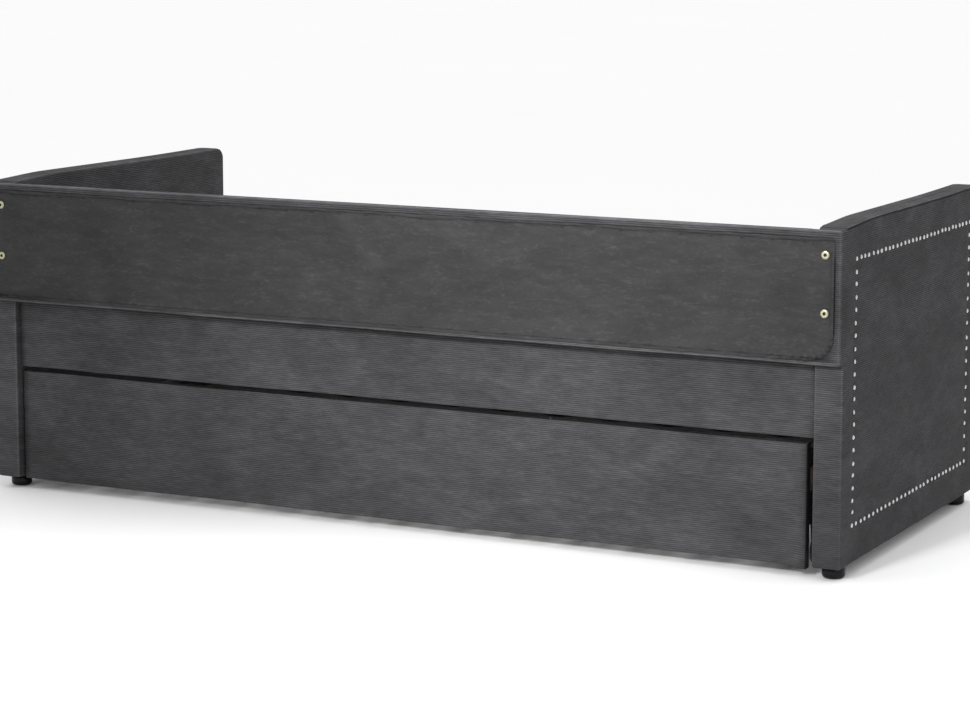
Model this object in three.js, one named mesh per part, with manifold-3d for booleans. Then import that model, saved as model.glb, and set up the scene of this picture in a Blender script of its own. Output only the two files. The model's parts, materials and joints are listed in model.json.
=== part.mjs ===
// Upholstered daybed with a rolling trundle, in millimetres.
// +X runs along the bed, +Y to the rear (the side of the back panel), +Z up.
// The origin is on the floor, at the centre of the overall width and depth.
import * as THREE from "three";
import { mergeVertices } from "three/addons/utils/BufferGeometryUtils.js";
import Module from "manifold-3d";

const wasm = await Module();
wasm.setup();

// ---------------------------------------------------------------- driving sizes

const innerLength = 2010; // between the two arms, for a 2000 mm mattress
const fit = 0.3; // gap between pieces that touch

// Arms
const armThickness = 62;
const armDepth = 916;
const armTop = 744;
const armTopCorner = 22;
const armBottomCorner = 5;
const armEdge = 5;
const armPadding = 8;
const armHem = 3; // fabric folded under the arm
const armHemWidth = 6;

// Feet
const footHeight = 28;
const footRadius = 25;
const footSoleRadius = 11;
const footRounding = 14;
const footInset = 52; // from the arm's front or rear face to the foot's centre
const studRadius = 4;
const studLength = 26;

// Back panel
const backThickness = 25; // behind the arms' rear faces
const backShare = 0.37366; // the back panel's height, as a share of the arms'
const backTopDrop = 9.5; // below the arms' tops
const backPadding = 21; // in front of the arms' rear faces
const backPadSideGap = 4;
const backPadEdge = 9;
const backCorner = 7;
const backEdge = 3;
const backHemWidth = 40; // fabric folded round onto the rear
const dustCoverThickness = 0.9;
const dustCoverSideInset = 9;
const dustCoverTopInset = 15;
const dustCoverBottomInset = 8;
const dustCoverTopCorner = 8;
const dustCoverBottomCorner = 45;

// Bolts that hold the back panel on the arms
const backBoltRadius = 4;
const backBoltHeadRadius = 10;
const backBoltHead = 3.5;
const backBoltReach = 50; // into the arm, from its rear face
const backBoltInsetLeft = 32; // from the panel's -X end
const backBoltInsetRight = 48; // from its +X end
const backBoltLow = 108.5; // above the panel's bottom edge
const backBoltTopDrop = 49.5; // of the upper bolts, below its top edge
const backBoltSocket = 3.4; // hexagon's corner radius
const backBoltSocketDepth = 2.2;

// Upholstered rails and panels
const skin = 2.5; // fabric and wadding over a board
const hemWidth = 12; // fabric folded round onto the inner side
const boardCorner = 4;
const boardEdge = 2.2;

// Front and rear rails of the bed
const railBoard = 22;
const railShare = 0.21371; // the rails' height, as a share of the arms'
const railBackGap = 1.5; // under the back panel
const railRecess = 16; // behind the arms' front or rear faces

// Angle brackets and bolts at the rails' ends
const bracketLeg = 60;
const bracketHeight = 80;
const bracketThickness = 3;
const bracketRise = 20; // above the rail's bottom edge
const railBoltRadius = 3;
const railBoltHeadRadius = 6.5;
const railBoltHead = 5;
const railBoltReach = 26; // into the arm, from its inner face
const railBoltLow = 20; // above the bracket's bottom edge
const railBoltPitch = 40;
const railBoltSetback = 38; // from the rail's board

// Slats
const slatThickness = 18;
const slatWidth = 70;
const slatCount = 13;
const slatEndGap = 4;
const slatSideMargin = 40; // from the arm or end rail to the first slat
const slatDrop = 5; // of the bed's slats below the rail's top edge
const strapWidth = 30;
const strapThickness = 1.4;
const strapSink = 0.2;
const strapOffset = 250; // from the middle of the slats
const ledgeWidth = 25;
const ledgeHeight = 30;
const ledgeEndGap = 8;

// Trundle
const trundleLength = 1985;
const trundleShift = 7; // towards the +X arm, within its side play
const trundleBottom = 24;
const trundleTopGap = 10; // under the bed's rails
const trundleRecess = 18; // of its faces behind the arms' faces
const trundleBoard = 18;
const trundleEndHem = 6;
const endRailInset = 8;
const endRailHeight = 73;
const trundleSlatRise = 48; // of the slats' top above the end rails' bottom edge
const trundleSlatThickness = 15;

// Casters
const wheelRadius = 32;
const wheelWidth = 19;
const wheelBore = 3.6;
const wheelHubRadius = 10;
const wheelWebWidth = 9;
const wheelRimRadius = 25;
const wheelShoulder = 4;
const wheelSideGap = 1;
const casterHeadroom = 38; // between the wheel and the end rail
const forkThickness = 2;
const forkPlateThickness = 2.5;
const forkPlateWidth = 32;
const forkPlateLength = 62;
const forkTopLength = 44;
const forkEyeRadius = 9;
const forkHole = 3.3;
const axleRadius = 3;
const axleHeadRadius = 5;
const axleHead = 1.6;
const casterInset = 132; // from the trundle's front or rear face to the axle

// ---------------------------------------------------------------- worked out

const cut = 5; // how far a cutting tool runs past the face it opens
const backBoltStack = fit + backBoltHead;
const dustCoverStack = fit + dustCoverThickness;
const overallDepth = armDepth + backThickness + dustCoverStack + backBoltStack;
const bedCentreY = (armDepth - overallDepth) / 2; // middle of the arms' depth
const armHalf = armDepth / 2;
const innerHalf = innerLength / 2;
const outerHalf = innerHalf + armThickness;
const armCentreX = innerHalf + armThickness / 2;
const footY = armHalf - footInset;

const backFace = armHalf + backThickness;
const backHeight = backShare * armTop;
const railHeight = railShare * armTop;
const backTop = armTop - backTopDrop;
const backBottom = backTop - backHeight;
const backBoltX = (sx) => sx * (outerHalf - (sx > 0 ? backBoltInsetRight : backBoltInsetLeft));
const backBoltHeights = [backBottom + backBoltLow, backTop - backBoltTopDrop];

const boardWrap = skin + fit;
const railTop = backBottom - railBackGap;
const railBottom = railTop - railHeight;
const railFace = armHalf - railRecess;
const railInner = railFace - boardWrap - railBoard; // the rail board's inner face
const bracketBottom = railBottom + bracketRise;
const railBoltHeights = [bracketBottom + railBoltLow, bracketBottom + railBoltLow + railBoltPitch];
const railBoltY = railInner - railBoltSetback;
const slatTop = railTop - slatDrop;

const trundleTop = railBottom - trundleTopGap;
const trundleFace = armHalf - trundleRecess;
const trundleInner = trundleFace - boardWrap - trundleBoard;
const endRailX = trundleLength / 2 - endRailInset; // the end rail's outer face
const endRailThickness = trundleBoard + 2 * boardWrap;
const endRailBottom = 2 * wheelRadius + casterHeadroom;
const trundleSlatTop = endRailBottom + trundleSlatRise;
const casterX = endRailX - endRailThickness / 2;
const casterY = trundleFace - casterInset;
const casterTop = endRailBottom - fit;

const mirrored = [
  { side: "left", sx: -1 },
  { side: "right", sx: 1 },
];
const ends = [
  { end: "rear", sy: 1 },
  { end: "front", sy: -1 },
];

// ---------------------------------------------------------------- materials

function material(color, roughness, metalness = 0) {
  return new THREE.MeshStandardMaterial({ color, roughness, metalness });
}

const corduroy = material(0x434345, 0.95);
const nonWoven = material(0x333333, 0.9);
const timber = material(0xc7a777, 0.7);
const slatPine = material(0xd8bd8c, 0.65);
const paleZinc = material(0xd6d3bd, 0.35, 1);
const darkSteel = material(0x55585c, 0.45, 1);
const brightSteel = material(0xa9acb0, 0.35, 1);
const glossBlack = material(0x0d0d0f, 0.2);
const wheelGrey = material(0x2b2b2d, 0.6);

// ---------------------------------------------------------------- solids

// A closed geometry as a manifold solid, without its zero-area faces.
function solid(geometry) {
  const bare = geometry.index ? geometry.toNonIndexed() : geometry.clone();
  bare.deleteAttribute("normal");
  bare.deleteAttribute("uv");
  const merged = mergeVertices(bare, 1e-4);
  const index = merged.index.array;
  const faces = [];
  for (let i = 0; i < index.length; i += 3) {
    const [a, b, c] = [index[i], index[i + 1], index[i + 2]];
    if (a !== b && b !== c && c !== a) faces.push(a, b, c);
  }
  return new wasm.Manifold(
    new wasm.Mesh({
      numProp: 3,
      vertProperties: merged.attributes.position.array,
      triVerts: new Uint32Array(faces),
    }),
  );
}

// The geometry of a manifold solid.
function geometryOf(body) {
  const mesh = body.getMesh();
  const geometry = new THREE.BufferGeometry();
  geometry.setAttribute("position", new THREE.BufferAttribute(mesh.vertProperties, 3));
  geometry.setIndex(new THREE.BufferAttribute(mesh.triVerts, 1));
  geometry.computeVertexNormals();
  return geometry;
}

// A box between two values on each axis, given in either order.
function block([x0, x1], [y0, y1], [z0, z1]) {
  const geometry = new THREE.BoxGeometry(Math.abs(x1 - x0), Math.abs(y1 - y0), Math.abs(z1 - z0));
  geometry.translate((x0 + x1) / 2, (y0 + y1) / 2, (z0 + z1) / 2);
  return solid(geometry);
}

// A rod along an axis, between two values on it, centred on the other two.
function rod(axis, radius, [from, to], [x, y, z], sides = 12) {
  const geometry = new THREE.CylinderGeometry(radius, radius, Math.abs(to - from), sides);
  if (axis === "x") geometry.rotateZ(Math.PI / 2);
  if (axis === "z") geometry.rotateX(Math.PI / 2);
  const middle = (from + to) / 2;
  geometry.translate(
    axis === "x" ? middle : x,
    axis === "y" ? middle : y,
    axis === "z" ? middle : z,
  );
  return solid(geometry);
}

// An outline with round top and bottom corners, centred across, standing on v = 0.
function outline(width, height, topCorner, bottomCorner) {
  const half = width / 2;
  const shape = new THREE.Shape();
  shape.moveTo(-half + bottomCorner, 0);
  shape.absarc(half - bottomCorner, bottomCorner, bottomCorner, -Math.PI / 2, 0);
  shape.absarc(half - topCorner, height - topCorner, topCorner, 0, Math.PI / 2);
  shape.absarc(-half + topCorner, height - topCorner, topCorner, Math.PI / 2, Math.PI);
  shape.absarc(-half + bottomCorner, bottomCorner, bottomCorner, Math.PI, Math.PI * 1.5);
  return shape;
}

// A plate of that outline, its thickness centred on zero, with rounded edges.
function plate(shape, thickness, edge, curveSegments = 2) {
  const geometry = new THREE.ExtrudeGeometry(shape, {
    depth: thickness - 2 * edge,
    bevelEnabled: edge > 0,
    bevelThickness: edge,
    bevelSize: edge,
    bevelOffset: -edge,
    bevelSegments: 2,
    curveSegments,
  });
  geometry.translate(0, 0, edge - thickness / 2);
  return geometry;
}

// A plate that stands along X, its thickness along Y.
function plateAlongX(shape, thickness, edge, [x, y, z], curveSegments) {
  const geometry = plate(shape, thickness, edge, curveSegments);
  geometry.rotateX(Math.PI / 2);
  geometry.translate(x, y, z);
  return solid(geometry);
}

// A plate that stands along Y, its thickness along X.
function plateAlongY(shape, thickness, edge, [x, y, z], curveSegments) {
  const geometry = plate(shape, thickness, edge, curveSegments);
  geometry.rotateX(Math.PI / 2);
  geometry.rotateZ(Math.PI / 2);
  geometry.translate(x, y, z);
  return solid(geometry);
}

// A turned piece whose axis is +Z, from [radius, height] points listed from the bottom up.
function turned(points, sides) {
  const geometry = new THREE.LatheGeometry(
    points.map(([radius, height]) => new THREE.Vector2(radius, height)),
    sides,
  );
  geometry.rotateX(Math.PI / 2);
  return solid(geometry);
}

// The points of a quarter round from one direction to another, in degrees.
function arc([x, y], radius, from, to, steps) {
  return Array.from({ length: steps + 1 }, (_, i) => {
    const angle = THREE.MathUtils.degToRad(from + ((to - from) * i) / steps);
    return [x + radius * Math.cos(angle), y + radius * Math.sin(angle)];
  });
}

// ---------------------------------------------------------------- scene helpers

const daybed = new THREE.Group();
const bed = new THREE.Group(); // everything that is centred on the arms' depth
bed.position.y = bedCentreY;
daybed.add(bed);
const trundle = new THREE.Group();
trundle.position.x = trundleShift;
bed.add(trundle);

function place(parent, name, body, look) {
  const mesh = new THREE.Mesh(geometryOf(body), look);
  mesh.name = name;
  parent.add(mesh);
  return mesh;
}

// ---------------------------------------------------------------- arms and feet

// The holes that an arm's core and cover share, as one cutting tool.
function armHoles(sx) {
  const inner = sx * innerHalf;
  const tools = [];
  for (const { sy } of ends) {
    tools.push(
      rod("z", studRadius + 2 * fit, [footHeight - cut, footHeight + studLength + cut],
        [sx * armCentreX, sy * footY, 0]),
    );
    for (const z of railBoltHeights) {
      tools.push(
        rod("x", railBoltRadius + 2 * fit, [inner - sx * cut, inner + sx * (railBoltReach + 2)],
          [0, sy * railBoltY, z]),
      );
    }
  }
  for (const z of backBoltHeights) {
    tools.push(
      rod("y", backBoltRadius + 2 * fit, [armHalf + cut, armHalf - backBoltReach - 2],
        [backBoltX(sx), 0, z]),
    );
  }
  return wasm.Manifold.union(tools);
}

// The arm's inner slab, grown by a margin on every side but the bottom.
function armSlab(sx, margin) {
  const wrap = armPadding + fit - margin;
  const bottom = footHeight + armHem + fit - margin;
  const shape = outline(
    armDepth - 2 * wrap,
    armTop - wrap - bottom,
    armTopCorner - wrap,
    Math.max(armBottomCorner - armHem, 1),
  );
  return plateAlongY(shape, armThickness - 2 * wrap, 0, [sx * armCentreX, 0, bottom], 4);
}

for (const { side, sx } of mirrored) {
  const holes = armHoles(sx);
  const core = armSlab(sx, 0).subtract(holes);
  place(bed, `${side}_arm_core`, core, timber);

  const outer = plateAlongY(
    outline(armDepth, armTop - footHeight, armTopCorner, armBottomCorner + armEdge),
    armThickness,
    armEdge,
    [sx * armCentreX, 0, footHeight],
    4,
  );
  const hemReach = armPadding + armHemWidth;
  const opening = block(
    [sx * (innerHalf + hemReach), sx * (outerHalf - hemReach)],
    [-armHalf + hemReach, armHalf - hemReach],
    [footHeight - cut, footHeight + armHem + 1],
  );
  const cover = outer.subtract(armSlab(sx, fit)).subtract(opening).subtract(holes);
  place(bed, `${side}_arm_cover`, cover, corduroy);
}

function foot() {
  const top = footHeight - fit;
  const studTop = footHeight + studLength;
  return turned([
    [0, 0],
    ...arc([footSoleRadius, footRounding], footRadius - footSoleRadius, -90, 0, 3),
    [footRadius, top],
    [studRadius, top],
    [studRadius, studTop],
    [0, studTop],
  ], 18);
}

for (const { end, sy } of ends) {
  for (const { side, sx } of mirrored) {
    const mesh = place(bed, `foot_${end}_${side}`, foot(), glossBlack);
    mesh.position.set(sx * armCentreX, sy * footY, 0);
  }
}

// ---------------------------------------------------------------- back panel

function backBoltTools(radius) {
  const tools = mirrored.flatMap(({ sx }) =>
    backBoltHeights.map((z) =>
      rod("y", radius, [armHalf - backPadding - cut, backFace + dustCoverStack + cut],
        [backBoltX(sx), 0, z]),
    ),
  );
  return wasm.Manifold.union(tools);
}

// The panel's board, grown by a margin on every side.
function backSlab(margin) {
  const wrap = boardWrap - margin;
  return block(
    [-outerHalf + wrap, outerHalf - wrap],
    [armHalf + fit + wrap, backFace - wrap],
    [backBottom + wrap, backTop - wrap],
  );
}

const backHoles = backBoltTools(backBoltRadius + 2 * fit);
place(bed, "back_board", backSlab(0).subtract(backHoles), timber);

const backShell = plateAlongX(
  outline(2 * outerHalf, backHeight, backCorner, backCorner),
  backThickness - fit,
  backEdge,
  [0, (armHalf + fit + backFace) / 2, backBottom],
);
const backPadDepth = backPadding + fit + backEdge + 1;
const backPad = plateAlongX(
  outline(2 * (innerHalf - backPadSideGap), backHeight, backPadEdge + 3, backPadEdge + 3),
  backPadDepth + backPadEdge,
  backPadEdge,
  [0, armHalf - backPadding + (backPadDepth + backPadEdge) / 2, backBottom],
);
const backPadFront = backPad.intersect(
  block(
    [-innerHalf, innerHalf],
    [armHalf - backPadding - cut, armHalf - backPadding + backPadDepth],
    [backBottom - cut, backTop + cut],
  ),
);
const backWindow = block(
  [-outerHalf + backHemWidth, outerHalf - backHemWidth],
  [backFace - skin - 1, backFace + cut],
  [backBottom + backHemWidth, backTop - backHemWidth],
);
const backCover = backShell
  .add(backPadFront)
  .subtract(backSlab(fit))
  .subtract(backWindow)
  .subtract(backHoles);
place(bed, "back_cover", backCover, corduroy);

const dustCover = plateAlongX(
  outline(
    2 * (outerHalf - dustCoverSideInset),
    backHeight - dustCoverTopInset - dustCoverBottomInset,
    dustCoverTopCorner,
    dustCoverBottomCorner,
  ),
  dustCoverThickness,
  0,
  [0, backFace + fit + dustCoverThickness / 2, backBottom + dustCoverBottomInset],
  5,
).subtract(backHoles);
place(bed, "back_dust_cover", dustCover, nonWoven);

// A bolt along +Z with its head's top at zero: a low round head and a hexagon socket.
function socketBolt({ shank, head, headRadius, length, socket, socketDepth, sides }) {
  const bolt = turned(
    [
      [0, -head - length],
      [shank, -head - length],
      [shank, -head],
      [headRadius, -head],
      [headRadius, -head / 2],
      [headRadius - head / 2, 0],
      [0, 0],
    ],
    sides,
  );
  const recess = rod("z", socket, [-socketDepth, 1], [0, 0, 0], 6);
  return bolt.subtract(recess);
}

const backBolt = socketBolt({
  shank: backBoltRadius,
  head: backBoltHead,
  headRadius: backBoltHeadRadius,
  length: backThickness + dustCoverStack + fit + backBoltReach,
  socket: backBoltSocket,
  socketDepth: backBoltSocketDepth,
  sides: 18,
});
for (const { side, sx } of mirrored) {
  backBoltHeights.forEach((z, level) => {
    const name = `back_bolt_${side}_${["lower", "upper"][level]}`;
    const mesh = place(bed, name, backBolt, paleZinc);
    mesh.position.set(backBoltX(sx), backFace + dustCoverStack + backBoltStack, z);
    mesh.rotation.x = -Math.PI / 2;
  });
}

// ---------------------------------------------------------------- upholstered boards

// A board with its wrapped cover. Length along X, standing on z = 0, the outer face at y = 0.
// endHem is the width of the fold at the ends; with none the cover is open at both ends.
function upholsteredBoard({ length, height, board, endHem }) {
  const thickness = board + 2 * boardWrap;
  const half = length / 2;
  const pocketHalf = endHem ? half - skin : half + cut;
  const windowHalf = endHem ? half - endHem : half + cut;
  const boardHalf = endHem ? half - boardWrap : half;
  const outer = plateAlongX(
    outline(length, height, boardCorner, boardCorner),
    thickness,
    boardEdge,
    [0, -thickness / 2, 0],
  );
  const pocket = block([-pocketHalf, pocketHalf], [-skin, skin - thickness], [skin, height - skin]);
  const window = block(
    [-windowHalf, windowHalf],
    [1 - thickness + skin, -thickness - cut],
    [hemWidth, height - hemWidth],
  );
  return {
    cover: outer.subtract(pocket).subtract(window),
    board: block(
      [-boardHalf, boardHalf],
      [-boardWrap, boardWrap - thickness],
      [boardWrap, height - boardWrap],
    ),
  };
}

// Places a wrapped board, turned about Z so that its outer face looks the right way.
function placeBoard(parent, name, pieces, position, turn) {
  const cover = place(parent, `${name}_cover`, pieces.cover, corduroy);
  const board = place(parent, `${name}_board`, pieces.board, timber);
  for (const mesh of [cover, board]) {
    mesh.position.set(...position);
    mesh.rotation.z = turn;
  }
}

// ---------------------------------------------------------------- bed rails and brackets

const rail = upholsteredBoard({
  length: innerLength - 2 * fit,
  height: railHeight,
  board: railBoard,
  endHem: 0,
});

for (const { end, sy } of ends) {
  placeBoard(bed, `${end}_rail`, rail, [0, sy * railFace, railBottom], sy > 0 ? 0 : Math.PI);

  for (const { side, sx } of mirrored) {
    const cornerX = sx * (innerHalf - fit);
    const cornerY = sy * (railInner - fit);
    const height = [bracketBottom, bracketBottom + bracketHeight];
    const railLeg = block(
      [cornerX, cornerX - sx * bracketLeg],
      [cornerY, cornerY - sy * bracketThickness],
      height,
    );
    const armLeg = block(
      [cornerX, cornerX - sx * bracketThickness],
      [cornerY, cornerY - sy * bracketLeg],
      height,
    );
    const holes = railBoltHeights.map((z) =>
      rod("x", railBoltRadius + 2 * fit, [cornerX + sx * cut, cornerX - sx * 2 * cut],
        [0, sy * railBoltY, z]),
    );
    const bracket = railLeg.add(armLeg).subtract(wasm.Manifold.union(holes));
    place(bed, `rail_bracket_${end}_${side}`, bracket, darkSteel);

    const bolt = socketBolt({
      shank: railBoltRadius,
      head: railBoltHead,
      headRadius: railBoltHeadRadius,
      length: 2 * fit + bracketThickness + railBoltReach,
      socket: railBoltRadius,
      socketDepth: railBoltHead / 2,
      sides: 12,
    });
    railBoltHeights.forEach((z, level) => {
      const name = `rail_bolt_${end}_${side}_${["lower", "upper"][level]}`;
      const mesh = place(bed, name, bolt, brightSteel);
      const headFace = innerHalf - 2 * fit - bracketThickness - railBoltHead;
      mesh.position.set(sx * headFace, sy * railBoltY, z);
      mesh.rotation.y = (-sx * Math.PI) / 2;
    });
  }
}

// ---------------------------------------------------------------- slats

// Slats across the bed, held together by two straps along it, in one piece.
function slatRoll({ halfSpan, halfLength, top, thickness }) {
  const reach = halfLength - slatSideMargin - slatWidth / 2;
  const slats = Array.from({ length: slatCount }, (_, i) => {
    const x = -reach + (2 * reach * i) / (slatCount - 1);
    return block(
      [x - slatWidth / 2, x + slatWidth / 2],
      [-halfSpan, halfSpan],
      [top - thickness, top],
    );
  });
  const straps = [-1, 1].map((sy) =>
    block(
      [-reach - slatWidth / 3, reach + slatWidth / 3],
      [sy * strapOffset - strapWidth / 2, sy * strapOffset + strapWidth / 2],
      [top - strapSink, top - strapSink + strapThickness],
    ),
  );
  return wasm.Manifold.union([...slats, ...straps]);
}

// A batten on the inner face of a rail, under the slats' ends.
function ledge(sy, innerFace, halfLength, top) {
  return block(
    [-halfLength, halfLength],
    [sy * (innerFace - fit), sy * (innerFace - fit - ledgeWidth)],
    [top - ledgeHeight, top],
  );
}

const bedSlats = slatRoll({
  halfSpan: railInner - slatEndGap,
  halfLength: innerHalf,
  top: slatTop,
  thickness: slatThickness,
});
place(bed, "bed_slat_roll", bedSlats, slatPine);

const trundleSlats = slatRoll({
  halfSpan: trundleInner - slatEndGap,
  halfLength: endRailX - endRailThickness,
  top: trundleSlatTop,
  thickness: trundleSlatThickness,
});
place(trundle, "trundle_slat_roll", trundleSlats, slatPine);

for (const { end, sy } of ends) {
  const bedLedgeTop = slatTop - slatThickness - fit;
  const bedLedge = ledge(sy, railInner, innerHalf - ledgeEndGap, bedLedgeTop);
  const bracketRooms = mirrored.map(({ sx }) =>
    block(
      [sx * (innerHalf - bracketLeg - 2 * fit), sx * innerHalf],
      [sy * railInner, sy * (railInner - ledgeWidth - 2 * fit)],
      [bracketBottom - fit, bracketBottom + bracketHeight + fit],
    ),
  );
  const notched = bedLedge.subtract(wasm.Manifold.union(bracketRooms)); // clear of a low rail's brackets
  place(bed, `${end}_slat_ledge`, notched, timber);

  const trundleLedgeTop = trundleSlatTop - trundleSlatThickness - fit;
  const ledgeHalf = endRailX - endRailThickness - ledgeEndGap;
  const trundleLedge = ledge(sy, trundleInner, ledgeHalf, trundleLedgeTop);
  place(trundle, `trundle_${end}_ledge`, trundleLedge, timber);
}

// ---------------------------------------------------------------- trundle box

const trundlePanel = upholsteredBoard({
  length: trundleLength,
  height: trundleTop - trundleBottom,
  board: trundleBoard,
  endHem: trundleEndHem,
});
const endRail = upholsteredBoard({
  length: 2 * (trundleInner - fit),
  height: endRailHeight,
  board: trundleBoard,
  endHem: 0,
});

// Each end rail's seat in the panel's cover, so that its fold stays clear of a tall rail.
const endRailSeats = mirrored.map(({ sx }) =>
  block(
    [sx * (endRailX - endRailThickness - fit), sx * (endRailX + fit)],
    [-boardWrap - trundleBoard, -boardWrap - trundleBoard - cut],
    [endRailBottom - fit - trundleBottom, endRailBottom + endRailHeight + fit - trundleBottom],
  ),
);
trundlePanel.cover = trundlePanel.cover.subtract(wasm.Manifold.union(endRailSeats));

for (const { end, sy } of ends) {
  const position = [0, sy * trundleFace, trundleBottom];
  placeBoard(trundle, `trundle_${end}`, trundlePanel, position, sy > 0 ? 0 : Math.PI);
}
for (const { side, sx } of mirrored) {
  const position = [sx * endRailX, 0, endRailBottom];
  placeBoard(trundle, `trundle_${side}_end`, endRail, position, (-sx * Math.PI) / 2);
}

// ---------------------------------------------------------------- casters

// One cheek of the fork: wide under the plate, round at the axle.
function forkCheek(x) {
  const top = casterTop - forkPlateThickness / 2;
  const shape = new THREE.Shape();
  shape.moveTo(-forkTopLength / 2, top);
  shape.lineTo(-forkEyeRadius, wheelRadius);
  shape.absarc(0, wheelRadius, forkEyeRadius, Math.PI, 2 * Math.PI);
  shape.lineTo(forkTopLength / 2, top);
  shape.closePath();
  const geometry = plate(shape, forkThickness, 0, 4);
  geometry.rotateX(Math.PI / 2);
  geometry.rotateZ(Math.PI / 2);
  geometry.translate(x, 0, 0);
  return solid(geometry);
}

const cheekX = wheelWidth / 2 + wheelSideGap + forkThickness / 2;
const cheekOuter = cheekX + forkThickness / 2;
const forkPlate = block(
  [-forkPlateWidth / 2, forkPlateWidth / 2],
  [-forkPlateLength / 2, forkPlateLength / 2],
  [casterTop - forkPlateThickness, casterTop],
);
const fork = forkPlate
  .add(forkCheek(cheekX))
  .add(forkCheek(-cheekX))
  .subtract(rod("x", forkHole, [-cheekOuter - cut, cheekOuter + cut], [0, 0, wheelRadius]));

const headX = cheekOuter + fit;
const axle = wasm.Manifold.union([
  rod("x", axleRadius, [-headX - axleHead / 2, headX + axleHead / 2], [0, 0, wheelRadius]),
  rod("x", axleHeadRadius, [headX, headX + axleHead], [0, 0, wheelRadius]),
  rod("x", axleHeadRadius, [-headX, -headX - axleHead], [0, 0, wheelRadius]),
]);

// The wheel, with its axis along +Z and its middle at zero: hub, thin web and round-edged rim.
function casterWheel() {
  const half = wheelWidth / 2;
  const web = wheelWebWidth / 2;
  const shoulder = [wheelRadius - wheelShoulder, half - wheelShoulder];
  const profile = [
    [wheelBore, -half],
    [wheelHubRadius, -half],
    [wheelHubRadius, -web],
    [wheelRimRadius, -web],
    [wheelRimRadius, -half],
    ...arc([shoulder[0], -shoulder[1]], wheelShoulder, -90, 0, 2),
    ...arc(shoulder, wheelShoulder, 0, 90, 2),
    [wheelRimRadius, half],
    [wheelRimRadius, web],
    [wheelHubRadius, web],
    [wheelHubRadius, half],
    [wheelBore, half],
    [wheelBore, -half],
  ];
  return turned(profile, 24);
}

for (const { end, sy } of ends) {
  for (const { side, sx } of mirrored) {
    const corner = `${end}_${side}`;
    const caster = new THREE.Group();
    caster.position.set(sx * casterX, sy * casterY, 0);
    trundle.add(caster);
    place(caster, `caster_fork_${corner}`, fork, darkSteel);
    place(caster, `caster_axle_${corner}`, axle, brightSteel);
    const wheel = place(caster, `caster_wheel_${corner}`, casterWheel(), wheelGrey);
    wheel.position.z = wheelRadius;
    wheel.rotation.y = Math.PI / 2;
  }
}

export default daybed;
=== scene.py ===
"""Looks of the upholstered daybed and its trundle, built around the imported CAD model.

Lengths are in metres, in the CAD model's frame: +X along the bed, +Y to the rear, +Z up.
"""

import json
import math

import bpy
import numpy as np
from mathutils import Matrix, Vector


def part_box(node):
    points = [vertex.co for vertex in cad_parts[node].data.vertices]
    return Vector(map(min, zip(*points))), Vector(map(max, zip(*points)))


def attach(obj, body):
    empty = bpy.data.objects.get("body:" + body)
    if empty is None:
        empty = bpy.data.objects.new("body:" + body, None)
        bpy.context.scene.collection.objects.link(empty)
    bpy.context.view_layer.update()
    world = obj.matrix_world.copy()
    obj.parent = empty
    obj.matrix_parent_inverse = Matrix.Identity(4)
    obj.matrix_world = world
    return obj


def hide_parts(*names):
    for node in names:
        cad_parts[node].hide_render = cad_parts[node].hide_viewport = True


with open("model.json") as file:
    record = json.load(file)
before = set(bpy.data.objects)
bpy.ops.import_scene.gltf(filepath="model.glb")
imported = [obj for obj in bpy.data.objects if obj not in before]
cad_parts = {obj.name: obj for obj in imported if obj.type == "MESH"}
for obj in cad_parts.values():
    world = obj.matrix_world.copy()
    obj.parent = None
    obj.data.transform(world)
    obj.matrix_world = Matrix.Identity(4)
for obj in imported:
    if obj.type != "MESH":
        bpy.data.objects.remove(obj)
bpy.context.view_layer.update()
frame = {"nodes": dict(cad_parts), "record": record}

MM = 0.001
ENDS, SIDES, LEVELS = (("rear", 1), ("front", -1)), (("left", -1), ("right", 1)), ("lower", "upper")
CORNERS = [(end, side, end_sign, side_sign) for end, end_sign in ENDS for side, side_sign in SIDES]

# --- driving sizes

RIB_PITCH = 4.4 * MM  # one wale of the corduroy
RIB_HEIGHT = 0.75 * MM
RIB_STEPS = 4  # points across one wale
SOFTNESS = 0.7 * MM  # how far the padded faces wander
PADDING = 6.5 * MM  # fabric and wadding on the arms

NAIL_RADIUS = 5.3 * MM
NAIL_HEIGHT = 3.0 * MM
NAIL_INSET = 77 * MM  # from the arm's front or rear face
NAIL_LOW, NAIL_HIGH = 108 * MM, 668 * MM
NAILS_REAR, NAILS_FRONT, NAILS_TOP, NAILS_BOTTOM = 22, 20, 31, 30
NAIL_DIP = 2.4 * MM  # how far the nails pull the fabric in
NAIL_DIP_WIDTH = 11 * MM

ARM_TOP_CORNER = 22 * MM
ARM_EDGE = 4.5 * MM
ARM_SAG = 6.5 * MM  # of the arm's top at the rear
ARM_SAG_LENGTH = 200 * MM
ARM_CROWN = 1.6 * MM  # how far the wadding stands proud of the arm's top
ARM_FRONT_CROWN = 3.6 * MM  # and how much more at its front corner
ARM_CREASE_DROP = 4 * MM  # from the arm's top to the seam along its outer face

BACK_EDGE = 4 * MM
BACK_HEM = 10 * MM
PAD_END_GAP = 4 * MM  # from the back's pad to each arm
PAD_END = 14 * MM  # how far the pad's ends are rounded
PAD_ROLL = 11 * MM  # and its upper edge
PAD_CROWN = 5 * MM
PAD_SOLE = 1.3 * MM  # how far the pad stands below the panel
PAD_TUCK = 4.2 * MM  # and how much further behind the rear rail

HEM = 12 * MM
SKIN = 2.2 * MM
BOARD_EDGE = 3.5 * MM
SHEET = 0.7 * MM  # the dust cover's cloth
DUST_CORNER = 52 * MM  # the round of its lower corners
DUST_TOP_CORNER = 10 * MM
STAPLE_INSET = 9 * MM
DUST_SETBACK = 3 * MM  # how much further in the dust cover's -X edge is turned

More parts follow.
